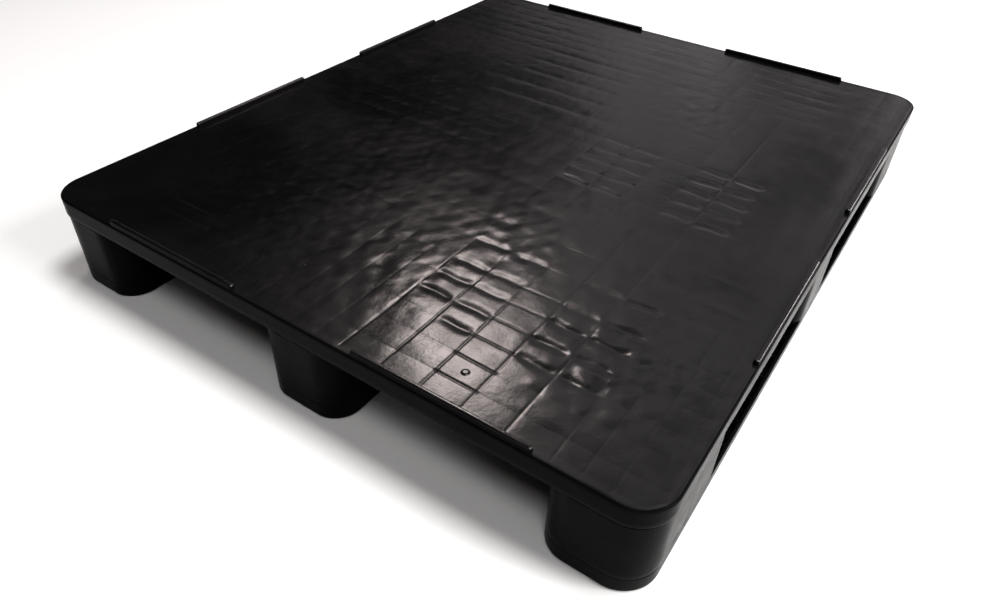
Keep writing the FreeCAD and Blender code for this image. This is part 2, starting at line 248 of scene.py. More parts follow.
def dashes():
    """The short rounded dents over the cross ribs: centre, half length, depth and tilt."""
    rng = np.random.default_rng(7)
    found = []
    for left, right in zip(MARKS_X, MARKS_X[1:]):
        middle = (left + right) / 2
        smooth_column = FLAT_COLUMN[0] < middle < FLAT_COLUMN[1]
        if smooth_column or not in_bay(middle, *DENTED_COLUMNS):
            continue
        for y in MARKS_Y:
            dented = in_bay(y, *DENTED_ENDS) or abs(y) < DENTED_CENTRE
            last_dent = -455 * MM if middle < 130 * MM else -505 * MM
            if not dented or (middle > 0 and y < last_dent):
                continue
            half_length = DASH_SHARE * (right - left) / 2 * rng.uniform(0.85, 1.1)
            side_depth = 1.0 if middle > 0 else 0.35
            depth = DASH_DEPTH * rng.uniform(0.7, 1.2) * zone_depth(middle, y) * side_depth
            found.append((middle + rng.uniform(-2, 2) * MM, y + rng.uniform(-2, 2) * MM,
                          half_length, depth, rng.uniform(-0.06, 0.06)))
    return found


def cut_long_grooves(dip, x, y, strength):
    """Deepen dip by the grooves and sink marks over the lengthwise ribs."""
    for line in MARKS_X:
        wander = line + 0.5 * MM * ripples(x, y, 0.18, 21)
        cut = 1.0 if 60 * MM < line < 330 * MM else 0.3
        middle_cut = 0.9 if 300 * MM < line < 330 * MM else 0.0
        crisp = cut * (0.25 + 0.75 * ease(-y, 230 * MM, 340 * MM))
        crisp = crisp + middle_cut * bell(y - 20 * MM, 150 * MM)
        dip += strength * crisp * GROOVE_DEPTH * bell(x - wander, GROOVE_WIDTH)
        dip += (0.5 + 0.5 * cut) * SINK_DEPTH * bell(x - wander, SINK_WIDTH)


def cut_cross_grooves(dip, x, y, strength):
    """Deepen dip by the marks over the cross ribs, crisp in the flat column and soft elsewhere."""
    left, right = FLAT_COLUMN
    flat = ease(x, left, left + SOFT_EDGE) * ease(-x, -right, SOFT_EDGE - right)
    for line in MARKS_Y:
        wander = line + 1.0 * MM * ripples(x, y, 0.15, 22)
        near = 1.0 if in_bay(line, 350 * MM, 580 * MM) else 0.35
        crisp = GROOVE_DEPTH * near * (0.2 + 1.3 * flat)
        dip += strength * crisp * bell(y - wander, GROOVE_WIDTH)
        sink = 1.4 - 0.8 * ease(x, 0, 80 * MM) * ease(y, 60 * MM, 140 * MM)
        dip += sink * SINK_DEPTH * bell(y - wander, SINK_WIDTH) * (1 - 0.8 * flat)


def cut_dashes(dip, x, y):
    """Deepen dip by the short rounded dents."""
    for centre_x, centre_y, half_length, depth, tilt in dashes():
        along = x - centre_x
        across = y - centre_y - tilt * along + 1.2 * MM * np.sin(along / (9 * MM) + centre_y * 90)
        reach = np.hypot(np.maximum(np.abs(along) - half_length, 0), across)
        dip += depth * ease(-reach, -DASH_WIDTH, 0)


def cut_flow_marks(dip, x, y):
    """Deepen dip by the wavy patches, the bands left of the middle and the faint ripples."""
    wavy = sum(share * bell(np.hypot(x - at_x, y - at_y), reach)
               for at_x, at_y, reach, share in WAVY_PATCHES)
    dip += WAVY_DEPTH * wavy * (ripples(x, y, 0.040, 31) + 0.4 * ripples(x, y, 0.024, 32))
    banded = ease(x, -205 * MM, -180 * MM) * ease(-x, -20 * MM, 0) * ease(y, 90 * MM, 115 * MM)
    banded = banded * ease(-y, -400 * MM, -360 * MM)
    for line in MARKS_Y:
        dip += BAND_DEPTH * banded * bell(y - line - 1.5 * MM * ripples(x, y, 0.06, 23), 9 * MM)
    dip += 0.16 * MM * ripples(x, y, 0.06, 33) + 0.25 * MM * ripples(x, y, 0.3, 34)
    dip += 0.09 * MM * ease(-x, -60 * MM, 40 * MM) * ripples(x, y, 0.028, 35)


def top_height(x, y):
    """The deck's height at each place: flat, less the marks that cooling left in it."""
    inside_x = ease(HALF_X - np.abs(x), PLAIN_BORDER, MARKED_BORDER)
    inside_y = ease(HALF_Y - np.abs(y), PLAIN_BORDER, MARKED_BORDER)
    dip = np.zeros_like(x)
    strength = 0.65 + 0.35 * ripples(x, y, 0.35, 11)
    cut_long_grooves(dip, x, y, strength)
    cut_cross_grooves(dip, x, y, strength)
    cut_dashes(dip, x, y)
    cut_flow_marks(dip, x, y)
    return TOP - inside_x * inside_y * (dip + MEAN_DIP)


def grid_places(half, marks, offsets, widest):
    """Grid lines from -half to half: close round each mark, never further than widest."""
    wanted = {-half, half}
    for mark in marks:
        wanted.update(mark + side * offset for offset in offsets for side in SIGNS)
    ordered = sorted(place for place in wanted if -half <= place <= half)
    places = [ordered[0]]
    for place in ordered[1:]:
        if place - places[-1] < 0.7 * MM and place != half:
            continue
        pieces = max(1, math.ceil((place - places[-1]) / widest))
        start = places[-1]
        places += [start + (place - start) * step / pieces for step in range(1, pieces + 1)]
    return np.array(places)


def round_corners(x, y, half_x, half_y, corner):
    """Bend the corners of a square grid, so that its border is a rounded outline."""
    over_x = np.maximum(np.abs(x) - (half_x - corner), 0)
    over_y = np.maximum(np.abs(y) - (half_y - corner), 0)
    length = np.hypot(over_x, over_y)
    scale = np.where(length > 0, np.maximum(over_x, over_y) / np.maximum(length, 1e-9), 1)
    over_x, over_y = over_x * scale, over_y * scale
    bent_x = np.sign(x) * (np.minimum(np.abs(x), half_x - corner) + over_x)
    bent_y = np.sign(y) * (np.minimum(np.abs(y), half_y - corner) + over_y)
    return bent_x, bent_y, np.sign(x) * over_x, np.sign(y) * over_y


def deck_cap():
    """The plate and its skirt: a closed shell under a finely gridded top."""
    offsets = (0, 1 * MM, 2 * MM, 3.2 * MM, 5 * MM, 8 * MM)
    half_x, half_y, corner = HALF_X - TOP_ROUND, HALF_Y - TOP_ROUND, CORNER - TOP_ROUND
    places_x = grid_places(half_x, MARKS_X, offsets, 5 * MM)
    places_y = grid_places(half_y, MARKS_Y, offsets, 4 * MM)
    square_x, square_y = np.meshgrid(places_x, places_y)
    x, y, out_x, out_y = round_corners(square_x, square_y, half_x, half_y, corner)
    vertices = np.stack([x, y, top_height(x, y)], -1).reshape(-1, 3).tolist()
    rows, columns = x.shape
    number = np.arange(rows * columns).reshape(rows, columns)
    faces = np.stack([number[:-1, :-1], number[:-1, 1:], number[1:, 1:], number[1:, :-1]], -1)
    faces = [tuple(face) for face in faces.reshape(-1, 4).tolist()]
    border = np.concatenate([number[0, :-1], number[:-1, -1], number[-1, :0:-1], number[:0:-1, 0]])
    out = np.stack([out_x, out_y], -1).reshape(-1, 2)[border]
    out /= np.linalg.norm(out, axis=1)[:, None]
    base = np.array(vertices)[border]
    wave = 0.18 * MM * (1 + np.clip(ripples(base[:, 0], base[:, 1], 0.09, 41), -1, 1))
    rings = [border.tolist()]
    for reach, height in skirt_profile():
        held = ease(TOP - height, TOP_ROUND, 3 * TOP_ROUND) if 0 < reach else 1.0
        place = base[:, :2] + out * (reach - wave * held)[:, None]
        start = len(vertices)
        vertices += np.column_stack([place, np.full(len(place), height)]).tolist()
        rings.append(list(range(start, start + len(place))))
    # the rings go down, so the quads are turned to face outwards
    faces += stack_rings([list(reversed(ring)) for ring in rings])
    faces.append(tuple(reversed(rings[-1])))
    return vertices, faces


def skirt_profile():
    """Reach beyond the top's border and height, down the skirt and up inside it."""
    profile = []
    for step in range(1, 7):
        turn = math.radians(15 * step)
        profile.append((TOP_ROUND * math.sin(turn), TOP - TOP_ROUND + TOP_ROUND * math.cos(turn)))
    edge = 2.4 * MM
    low = SKIRT_FOOT + edge
    for step in range(1, 5):
        profile.append((TOP_ROUND, TOP - TOP_ROUND + (low - TOP + TOP_ROUND) * step / 4))
    for step in range(1, 4):
        turn = math.radians(30 * step)
        profile.append((TOP_ROUND - edge * (1 - math.cos(turn)), low - edge * math.sin(turn)))
    inner = TOP_ROUND - SKIRT_WALL
    profile += [(inner + edge, SKIRT_FOOT), (inner, low), (inner, TOP - PLATE)]
    return profile


def button():
    """The small round knob near the front edge, a low dome sunk into the plate."""
    steps, tiers = 28, 7
    points, rings = [], []
    profile = [(BUTTON_RADIUS, TOP - PLATE / 2)]
    for tier in range(tiers):
        turn = math.radians(90 * tier / tiers)
        height = TOP - BUTTON_SUNK + BUTTON_HEIGHT * math.sin(turn)
        profile.append((BUTTON_RADIUS * math.cos(turn) ** 0.6, height))
    for radius, height in profile:
        rings.append(list(range(len(points), len(points) + steps)))
        points += circle(*BUTTON, radius, height, steps)
    faces = stack_rings(rings)
    faces.append(tuple(reversed(rings[0])))
    faces.append(tuple(rings[-1]))
    return points, faces


# ---- ribs under the deck --------------------------------------------------------

def over_seat(x, y):
    """True over a block, where the ribs stop at the seat."""
    for column in COLUMNS.values():
        for row in ROWS.values():
            reach_x = ZONE_WIDTH / 2
            reach_y = (ZONE_LONG if row else ZONE_SHORT) / 2
            if abs(x - column * COLUMN_PITCH) < reach_x and abs(y - row * ROW_PITCH) < reach_y:
                return True
    return False


def rib_edges(lines, half):
    """Every place where the height of the underside may change, along one axis."""
    edges = {-half, half, -half + EDGE_RELIEF, half - EDGE_RELIEF}
    for line in lines:
        edges.update((line - RIB_WALL / 2, line + RIB_WALL / 2))
    return sorted(edges)


def on_rib(place, lines):
    """True where a place lies within a rib along one of the lines."""
    return any(abs(place - line) < RIB_WALL / 2 for line in lines)


def rib_lattice():
    """The ribs as one closed body, stepped where they meet a seat or the skirt."""
    inset = SKIRT_WALL / 2
    half_x, half_y = HALF_X - inset, HALF_Y - inset
    xs, ys = rib_edges(RIBS_X, half_x), rib_edges(RIBS_Y, half_y)
    roof = TOP - PLATE / 2
    levels = (TOP - RIB_DEPTH, SKIRT_FOOT, TOP - PLATE + OVERLAP)
    cells = np.zeros((len(ys) - 1, len(xs) - 1), int)
    for row in range(len(ys) - 1):
        for column in range(len(xs) - 1):
            x = (xs[column] + xs[column + 1]) / 2
            y = (ys[row] + ys[row + 1]) / 2
            rib = on_rib(x, RIBS_X) or on_rib(y, RIBS_Y)
            at_edge = abs(x) > HALF_X - EDGE_RELIEF or abs(y) > HALF_Y - EDGE_RELIEF
            cells[row, column] = 2 if not rib else (1 if at_edge or over_seat(x, y) else 0)
    return stepped_body(xs, ys, levels, roof, cells, half_x, half_y, CORNER - inset)


def stepped_body(xs, ys, levels, roof, cells, half_x, half_y, corner):
    """A closed body from a flat roof to one level per cell, below the roof or above it."""
    numbers, vertices, faces = {}, [], []
    heights = (*levels, roof)

    def vertex(column, row, level):
        """The number of a grid corner's vertex at a level, made when first asked for."""
        key = (column, row, level)
        if key not in numbers:
            x, y, _, _ = round_corners(np.array(xs[column]), np.array(ys[row]), half_x, half_y, corner)
            numbers[key] = len(vertices)
            vertices.append((float(x), float(y), heights[level]))
        return numbers[key]

    def level_at(row, column):
        """A cell's level, or the roof's number outside the grid."""
        inside = 0 <= row < cells.shape[0] and 0 <= column < cells.shape[1]
        return cells[row, column] if inside else len(levels)

    def wall(ends, here, there):
        """Faces between two neighbouring cells of different levels, facing the higher one."""
        low, high = sorted((here, there))
        first, second = ends if here < there else ends[::-1]
        for level in range(low, high):
            faces.append((vertex(*first, level), vertex(*second, level),
                          vertex(*second, level + 1), vertex(*first, level + 1)))

    for row in range(len(ys) - 1):
        for column in range(len(xs) - 1):
            level = cells[row, column]
            square = ((column, row), (column + 1, row), (column + 1, row + 1), (column, row + 1))
            faces.append(tuple(vertex(*place, level) for place in reversed(square)))
            faces.append(tuple(vertex(*place, len(levels)) for place in square))
    for row in range(len(ys) - 1):
        for column in range(len(xs)):
            wall(((column, row), (column, row + 1)), level_at(row, column - 1), level_at(row, column))
    for row in range(len(ys)):
        for column in range(len(xs) - 1):
            wall(((column + 1, row), (column, row)), level_at(row - 1, column), level_at(row, column))
    if levels[0] > roof:
        faces = [tuple(reversed(face)) for face in faces]
    return vertices, faces


def screw_tubes():
    """The round tubes that the block screws bite into, each with its open bore."""
    shells = []
    foot, roof = SKIRT_FOOT, TOP - PLATE / 2
    profile = [(TUBE_BORE, foot + BORE_DEPTH), (TUBE_BORE, foot), (TUBE_RADIUS, foot), (TUBE_RADIUS, roof)]
    for column in COLUMNS.values():
        for row in ROWS.values():
            for side in SIGNS:
                for end in SIGNS:
                    x = column * COLUMN_PITCH + side * SCREW_ACROSS
                    y = row * ROW_PITCH + end * SCREW_ALONG
                    points, rings = [], []
                    for radius, height in profile:
                        rings.append(list(range(len(points), len(points) + ROUND_STEPS)))
                        points += circle(x, y, radius, height)
                    faces = stack_rings(rings)
                    faces.append(tuple(reversed(rings[0])))
                    faces.append(tuple(rings[-1]))
                    shells.append((points, faces))
    return shells


# ---- rims -----------------------------------------------------------------------

def rim(centre_x, centre_y, along_y):
    """A low bar with a rounded back and rounded ends, sunk a little into the deck."""
    half_long, half_wide = RIM_LENGTH / 2, RIM_WALL / 2
    shoulder = TOP + RIM_HEIGHT - RIM_ROUND
    profile = [(0.0, TOP - RIM_SUNK), (0.0, TOP + 1.0 * MM), (RIM_DRAFT, shoulder)]
    for step in range(1, 5):
        turn = math.radians(22.5 * step)
        profile.append((RIM_DRAFT + RIM_ROUND * (1 - math.cos(turn)), shoulder + RIM_ROUND * math.sin(turn)))
    points, rings = [], []
    for inset, height in profile:
        radii = [RIM_CORNER - inset] * 4
        ring = rounded_ring(half_long - inset, half_wide - inset, radii, 6, 18 * MM)
        rings.append(list(range(len(points), len(points) + len(ring))))
        for x, y, _, _ in ring:
            place = (centre_x - y, centre_y + x) if along_y else (centre_x + x, centre_y + y)
            points.append((*place, height))
    faces = stack_rings(rings)
    faces.append(tuple(reversed(rings[0])))
    faces.append(tuple(rings[-1]))
    return points, faces


def rounded_ring(half_x, half_y, radii, arc_steps, widest):
    """Points round a rectangle with four corner radii, with their outward directions."""
    corners = ((-1, -1), (1, -1), (1, 1), (-1, 1))
    ring = []
    for index, (side, end) in enumerate(corners):
        radius = max(radii[index], 0.2 * MM)
        centre = (side * (half_x - radius), end * (half_y - radius))
        for step in range(arc_steps + 1):
            turn = math.radians(180 + 90 * index + 90 * step / arc_steps)
            out = (math.cos(turn), math.sin(turn))
            ring.append((centre[0] + radius * out[0], centre[1] + radius * out[1], *out))
    full = []
    for here, following in zip(ring, ring[1:] + ring[:1]):
        full.append(here)
        gap = math.hypot(following[0] - here[0], following[1] - here[1])
        pieces = max(1, round(gap / widest)) if here[2:] == following[2:] or gap > 2 * widest else 1
        for step in range(1, pieces):
            share = step / pieces
            full.append(tuple(a + (b - a) * share for a, b in zip(here, following)))
    return full


def make_rims():
    """The eight rims, two along each side of the deck."""
    edge = RIM_INSET + RIM_WALL / 2
    shells = []
    for side in SIGNS:
        for end in SIGNS:
            shells.append(rim(side * RIM_PITCH_X / 2, end * (HALF_Y - edge), False))
            shells.append(rim(side * (HALF_X - edge), end * RIM_PITCH_Y / 2, True))
    return shells


# ---- blocks ---------------------------------------------------------------------

BLOCK_CORNER = 40 * MM
BLOCK_WALL = 4.5 * MM
SHADOW_GAP = 2.0 * MM
SHADOW_DEPTH = 1.6 * MM
# corner radius of a block or a runner where it stands at the deck's corner
OUTER_CORNER = CORNER - 2 * MM
BLOCK_WAVE = 0.14 * MM
BLOCK_SINK = 0.25 * MM
BLOCK_SINK_WIDTH = 6 * MM


def block_radii(column, row):
    """Corner radii from the front left: the pallet's own corners follow the deck's."""
    radii = []
    for side, end in ((-1, -1), (1, -1), (1, 1), (-1, 1)):
        own = side == column and end == row
        radii.append(OUTER_CORNER if own else BLOCK_CORNER)
    return radii


def block_profile(low, high):
    """Inset and height, from the foot of the outer wall over the top, then inside."""
    edge = 0.6 * MM
    profile = [(edge, low)]
    for step in range(1, 4):
        turn = math.radians(30 * step)
        profile.append((edge * (1 - math.sin(turn)), low + edge * (1 - math.cos(turn))))
    neck = high - SHADOW_GAP
    for step in range(1, 11):
        profile.append((0.0, low + edge + (neck - 2 * edge - low) * step / 10))
    profile += [(0.3 * MM, neck - 0.5 * MM), (SHADOW_DEPTH, neck), (SHADOW_DEPTH, high)]
    return profile


def block(node, column, row):
    """A hollow block skin with rounded corners, open below like the moulding."""
    low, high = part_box(node)
    centre = (low + high) / 2
    half_x, half_y = (high.x - low.x) / 2, (high.y - low.y) / 2
    radii = block_radii(column, row)
    outer = block_profile(low.z, high.z)
    inner = [(BLOCK_WALL, high.z - PLATE), (BLOCK_WALL, low.z)]
    points, rings = [], []
    for index, (inset, height) in enumerate(outer + inner):
        ring = rounded_ring(half_x - inset, half_y - inset, [r - inset for r in radii], 14, 9 * MM)
        ring = np.array(ring)
        x, y = centre.x + ring[:, 0], centre.y + ring[:, 1]
        waves = ripples(x + y, np.full_like(x, height), 0.05, 50 + column * 3 + row)
        soft = BLOCK_WAVE * (1 + np.clip(waves, -1, 1))
        from_middle = np.minimum(np.abs(x - centre.x), np.abs(y - centre.y))
        soft += BLOCK_SINK * bell(from_middle, BLOCK_SINK_WIDTH)
        held = 1.0 if index < len(outer) - 2 else 0.0
        rings.append(list(range(len(points), len(points) + len(ring))))
        points += np.column_stack([x - ring[:, 2] * soft * held, y - ring[:, 3] * soft * held,
                                   np.full_like(x, height)]).tolist()
    skin, lining = rings[:len(outer)], rings[len(outer):]
    faces = stack_rings(skin) + stack_rings(lining) + stack_rings([lining[-1], skin[0]])
    faces.append(tuple(skin[-1]))
    faces.append(tuple(reversed(lining[0])))
    return make_piece(f"skin_{node}", points, faces)


# ---- runners --------------------------------------------------------------------

RUNNER_FLOOR = 4 * MM
RUNNER_ROUND = 5 * MM
RUNNER_RIB_PITCH = 50 * MM
RUNNER_RIB_COUNT = 23
SINK_RADIUS = 9.5 * MM
SINK_DEEP = 9 * MM
HOLE_RADIUS = 4.3 * MM


def plate_with_holes(outline, holes, facing_up):
    """Triangles that fill an outline less its holes, all at one height, by vertex number."""
    work = bmesh.new()
    for loop in [outline, *holes]:
        ring = [work.verts.new(point) for point in loop]
        for here, following in zip(ring, ring[1:] + ring[:1]):
            work.edges.new((here, following))
    work.verts.index_update()
    bmesh.ops.triangle_fill(work, edges=work.edges[:], use_beauty=True)
    faces = []
    for face in work.faces:
        face.normal_update()
        order = tuple(vertex.index for vertex in face.verts)
        faces.append(order if (face.normal.z > 0) == facing_up else tuple(reversed(order)))
    work.free()
    return faces


def runner_profile(low, high):
    """Inset and height, from the sole's edge over the outer wall, then down inside."""
    profile = []
    for step in range(7):
        turn = math.radians(15 * step)
        profile.append((RUNNER_ROUND * (1 - math.sin(turn)), low + RUNNER_ROUND * (1 - math.cos(turn))))
    edge = 0.4 * MM
    profile += [(0.0, high - 3 * edge), (0.0, high - edge), (0.25 * edge, high - 0.3 * edge), (edge, high)]
    profile += [(BLOCK_WALL - 0.4 * MM, high), (BLOCK_WALL, high - 0.4 * MM)]
    profile.append((BLOCK_WALL, low + RUNNER_FLOOR))
    return profile


def runner_screws(centre_x):
    """The places of a runner's twelve screws."""
    return [(centre_x + side * SCREW_ACROSS, row * ROW_PITCH + end * SCREW_ALONG)
            for row in ROWS.values() for side in SIGNS for end in SIGNS]


def runner_shell(low, high, column):
    """The runner's trough, with a hole through its floor at each screw."""
    centre_x = (low.x + high.x) / 2
    half_x, half_y = (high.x - low.x) / 2, high.y
    radii = [OUTER_CORNER if side == column else BLOCK_CORNER for side in (-1, 1, 1, -1)]
    points, rings = [], []
    for inset, height in runner_profile(low.z, high.z):
        ring = rounded_ring(half_x - inset, half_y - inset, [r - inset for r in radii], 14, 12 * MM)
        rings.append(list(range(len(points), len(points) + len(ring))))
        points += [(centre_x + x, y, height) for x, y, _, _ in ring]
    faces = stack_rings(rings)
    hole_rings = {}
    for level, height in enumerate((low.z, low.z + RUNNER_FLOOR)):
        hole_rings[level] = []
        for x, y in runner_screws(centre_x):
            hole_rings[level].append(list(range(len(points), len(points) + ROUND_STEPS)))
            points += circle(x, y, SINK_RADIUS, height)
    for lower, upper in zip(hole_rings[0], hole_rings[1]):
        faces += [tuple(reversed(face)) for face in stack_rings([lower, upper])]
    for outline, holes, facing_up in ((rings[0], hole_rings[0], False), (rings[-1], hole_rings[1], True)):
        numbers = outline + [number for hole in holes for number in hole]
        loops = [[points[number] for number in loop] for loop in [outline, *holes]]
        for face in plate_with_holes(loops[0], loops[1:], facing_up):
            faces.append(tuple(numbers[index] for index in face))
    return points, faces


def runner_ribs(low, high):
    """The ribs that stand on the runner's floor, along and across."""
    centre_x = (low.x + high.x) / 2
    inset = BLOCK_WALL / 2
    half_x, half_y = (high.x - low.x) / 2 - inset, high.y - inset
    along = [side * SCREW_ACROSS for side in (-1, 0, 1)]
    across = [(step - (RUNNER_RIB_COUNT - 1) / 2) * RUNNER_RIB_PITCH for step in range(RUNNER_RIB_COUNT)]
    xs = sorted({-half_x, half_x} | {line + side * RIB_WALL / 2 for line in along for side in SIGNS})
    ys = sorted({-half_y, half_y} | {line + side * RIB_WALL / 2 for line in across for side in SIGNS})
    cells = np.ones((len(ys) - 1, len(xs) - 1), int)
    for row in range(len(ys) - 1):
        for column in range(len(xs) - 1):
            x, y = (xs[column] + xs[column + 1]) / 2, (ys[row] + ys[row + 1]) / 2
            if on_rib(x, along) or on_rib(y, across):
                cells[row, column] = 0
    levels = (high.z, low.z + RUNNER_FLOOR - OVERLAP)
    roof = low.z + RUNNER_FLOOR / 2
    points, faces = stepped_body(xs, ys, levels, roof, cells, half_x, half_y, OUTER_CORNER - inset)
    return [(x + centre_x, y, z) for x, y, z in points], faces


def runner_bosses(low, high):
    """The screw bosses: a counterbore from below and a clearance hole above it."""
    shells = []
    step_up = low.z + SINK_DEEP
    foot, head = low.z + 1 * MM, high.z - 0.3 * MM
    profile = [(SINK_RADIUS, step_up), (SINK_RADIUS, foot), (TUBE_RADIUS, foot), (TUBE_RADIUS, head),
               (HOLE_RADIUS, head), (HOLE_RADIUS, step_up)]
    starts = [ROUND_STEPS * ring for ring in range(len(profile))]
    rings = [list(range(start, start + ROUND_STEPS)) for start in starts]
    for x, y in runner_screws((low.x + high.x) / 2):
        points = [point for radius, height in profile for point in circle(x, y, radius, height)]
        shells.append((points, stack_rings(rings + rings[:1])))
    return shells


def runner(node, column):
    """A runner: a trough with a rounded sole, ribs, and twelve screw bosses."""
    low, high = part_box(node)
    shells = [runner_shell(low, high, column), runner_ribs(low, high), *runner_bosses(low, high)]
    return make_piece(f"skin_{node}", *join_shells(shells))


# ---- materials ------------------------------------------------------------------

def new_material(name):
    """An empty node material with its Principled shader and its tree."""
    material = bpy.data.materials.new(name)
    material.use_nodes = True
    tree = material.node_tree
    shader = next(node for node in tree.nodes if node.type == "BSDF_PRINCIPLED")
    return material, tree, shader


def add_node(tree, kind, **settings):
    """A new node with its plain settings."""
    node = tree.nodes.new(kind)
    for key, value in settings.items():
        setattr(node, key, value)
    return node


def stretched(tree, scale, turn=0.0):
    """The object's own coordinates in metres, turned about Z and scaled."""
    source = add_node(tree, "ShaderNodeTexCoord")
    mapping = add_node(tree, "ShaderNodeMapping")
    mapping.inputs["Scale"].default_value = scale
    mapping.inputs["Rotation"].default_value = (0, 0, math.radians(turn))
    tree.links.new(source.outputs["Object"], mapping.inputs["Vector"])
    return mapping.outputs["Vector"]


def noise_field(tree, scale, detail, turn=0.0, distortion=0.0):
    """Noise from 0 to 1. The scale is in waves per metre, one figure or one per axis."""
    scale = scale if hasattr(scale, "__len__") else (scale,) * 3
    field = add_node(tree, "ShaderNodeTexNoise")
    field.inputs["Scale"].default_value = 1.0
    field.inputs["Detail"].default_value = detail
    field.inputs["Roughness"].default_value = 0.5
    field.inputs["Distortion"].default_value = distortion
    tree.links.new(stretched(tree, scale, turn), field.inputs["Vector"])
    return field.outputs["Fac"]


def remap(tree, value, low, high, to_low=0.0, to_high=1.0):
    """A value taken from one range to another, held at the ends."""
    node = add_node(tree, "ShaderNodeMapRange", interpolation_type="SMOOTHSTEP")
    node.inputs["From Min"].default_value = low
    node.inputs["From Max"].default_value = high
    node.inputs["To Min"].default_value = to_low
    node.inputs["To Max"].default_value = to_high
    tree.links.new(value, node.inputs["Value"])
    return node.outputs["Result"]


def combine(tree, operation, first, second):
    """A Math node on two values, each a socket or a number."""
    node = add_node(tree, "ShaderNodeMath", operation=operation)
    for socket, value in zip(node.inputs, (first, second)):
        if isinstance(value, (int, float)):
            socket.default_value = value
        else:
            tree.links.new(value, socket)
    return node.outputs["Value"]


def total(tree, values):
    """The sum of several sockets."""
    result = values[0]
    for value in values[1:]:
        result = combine(tree, "ADD", result, value)
    return result


def blend_colour(tree, share, first, second):
    """First colour where share is 0, second where it is 1."""
    node = add_node(tree, "ShaderNodeMix", data_type="RGBA")
    sockets = [socket for socket in node.inputs if socket.type == "RGBA"]
    for socket, colour in zip(sockets, (first, second)):
        if hasattr(colour, "is_output"):
            tree.links.new(colour, socket)
        else:
            socket.default_value = (*colour, 1)
    tree.links.new(share, node.inputs["Factor"])
    return next(socket for socket in node.outputs if socket.type == "RGBA")


def scratches(tree, length_scale, width_scale, turn, threshold):
    """Long thin streaks along one direction, broken into patches."""
    scale = (length_scale, width_scale, length_scale)
    lines = noise_field(tree, scale, detail=2.0, turn=turn, distortion=0.2)
    patches = noise_field(tree, 9.0, detail=2.0, turn=turn)
    thin = remap(tree, lines, threshold, threshold + 0.03)
    return combine(tree, "MULTIPLY", thin, remap(tree, patches, 0.48, 0.62))


def specks(tree, per_metre, radius, share):
    """Small round flecks at random places: share is how many of the places have one."""
    cells = add_node(tree, "ShaderNodeTexVoronoi", feature="F1")
    cells.inputs["Scale"].default_value = 1.0
    tree.links.new(stretched(tree, (per_metre,) * 3), cells.inputs["Vector"])
    split = add_node(tree, "ShaderNodeSeparateColor")
    tree.links.new(cells.outputs["Color"], split.inputs["Color"])
    chosen = remap(tree, split.outputs["Red"], 1 - share, 1 - share + 0.01)
    reach = radius * per_metre
    dot = remap(tree, cells.outputs["Distance"], reach * 0.5, reach, 1.0, 0.0)
    return combine(tree, "MULTIPLY", dot, chosen)


def bump(tree, shader, height, distance):
    """Fine relief on the shader's normal: a height of one stands for the distance."""
    node = add_node(tree, "ShaderNodeBump")
    node.inputs["Strength"].default_value = 1.0
    node.inputs["Distance"].default_value = distance
    tree.links.new(height, node.inputs["Height"])
    tree.links.new(node.outputs["Normal"], shader.inputs["Normal"])


def scuffs(tree, wear):
    """Thin scratches in three directions, as strong as the wear."""
    long_marks = scratches(tree, length_scale=3.0, width_scale=420.0, turn=24, threshold=0.66)
    cross_marks = scratches(tree, length_scale=4.0, width_scale=520.0, turn=-58, threshold=0.67)
    short_marks = scratches(tree, length_scale=22.0, width_scale=800.0, turn=82, threshold=0.68)
    return combine(tree, "MULTIPLY", total(tree, [long_marks, cross_marks, short_marks]), wear)


def moulded_plastic(name, dark, light, gloss, grain, wear, shine):
    """Black moulded polyolefin: cloudy gloss, fine grain, scuffs and dusty specks."""
    material, tree, shader = new_material(name)
    clouds = noise_field(tree, 4.0, detail=4.0, turn=20, distortion=0.6)
    mottle = noise_field(tree, 38.0, detail=4.0, distortion=0.3)
    fine = noise_field(tree, 900.0, detail=2.0)
    peel = noise_field(tree, 140.0, detail=2.0, distortion=0.4)
    marks = scuffs(tree, wear)
    flecks = specks(tree, per_metre=16.0, radius=1.4 * MM, share=0.16)
    colour = blend_colour(tree, remap(tree, clouds, 0.35, 0.7), dark, light)
    dusty = tuple(3.0 * part + 0.006 for part in light)
    colour = blend_colour(tree, combine(tree, "MULTIPLY", marks, 0.35), colour, dusty)
    colour = blend_colour(tree, combine(tree, "MULTIPLY", flecks, 0.5), colour, dusty)
    tree.links.new(colour, shader.inputs["Base Color"])
    rough = total(tree, [remap(tree, clouds, 0.3, 0.75, gloss, gloss + 0.09),
                         remap(tree, mottle, 0.3, 0.7, 0.0, 0.05),
                         remap(tree, fine, 0.2, 0.8, -0.02, 0.03),
                         combine(tree, "MULTIPLY", marks, 0.16),
                         combine(tree, "MULTIPLY", flecks, 0.2)])
    tree.links.new(rough, shader.inputs["Roughness"])
    shader.inputs["IOR"].default_value = 1.5
    shader.inputs["Specular IOR Level"].default_value = shine
    height = total(tree, [combine(tree, "MULTIPLY", fine, 0.05 * grain),
                          combine(tree, "MULTIPLY", peel, 0.40),
                          combine(tree, "MULTIPLY", mottle, 1.0),
                          combine(tree, "MULTIPLY", marks, -0.05),
                          combine(tree, "MULTIPLY", flecks, 0.3)])
    bump(tree, shader, height, 0.25 * MM)
    return material


